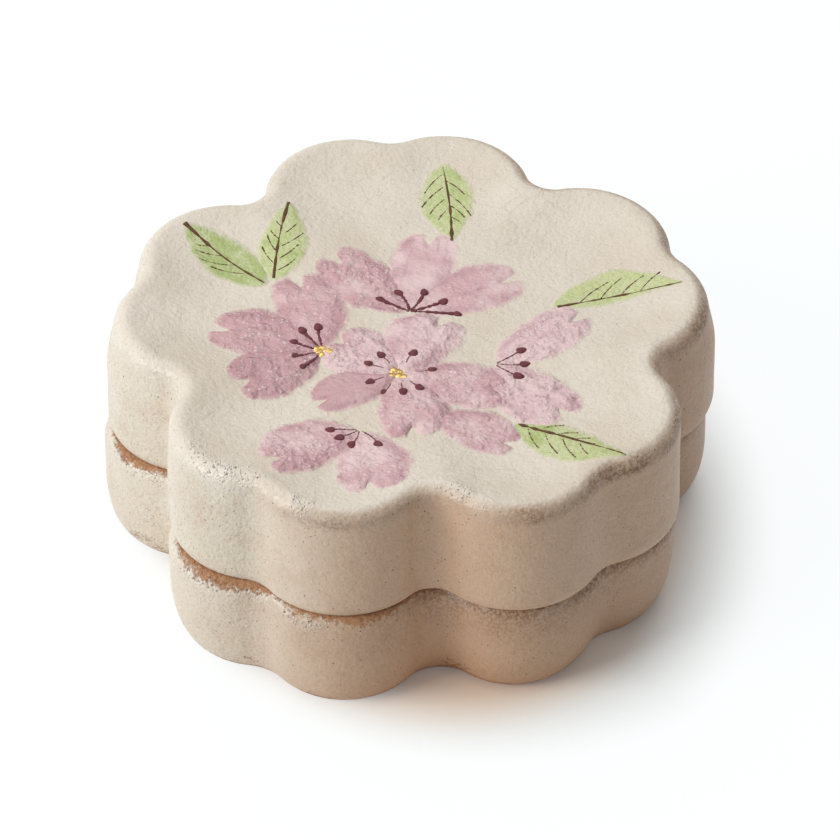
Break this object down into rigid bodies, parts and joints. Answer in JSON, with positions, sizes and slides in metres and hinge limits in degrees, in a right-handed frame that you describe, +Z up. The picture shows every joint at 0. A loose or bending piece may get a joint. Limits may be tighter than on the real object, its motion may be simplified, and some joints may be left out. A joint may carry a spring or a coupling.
{
  "type": "incense box",
  "caption": "Flower-shaped ceramic incense box: a deep lid with a dished top lifts off a shallow body whose flange locates it over a small well.",
  "frame": {"origin": "centre of the flower on the plane that the foot ring stands on", "axes": "+Z up along the flower's five-fold axis, the way the lid lifts; one petal points along +Y"},
  "size_m": [0.0718, 0.0693, 0.0296],
  "materials": {
    "cream_glaze": "satin",
    "pink_enamel": "satin",
    "green_enamel": "satin",
    "brown_enamel": "satin",
    "gold_leaf": "satin"
  },
  "bodies": {
    "body": {"body": "cream_glaze"},
    "lid": {"lid": "cream_glaze"}
  },
  "joints": [
    {"name": "lid_lift", "type": "slide", "parent": "body", "child": "lid", "axis": [0, 0, 1], "range_m": [0, 0.04]}
  ]
}
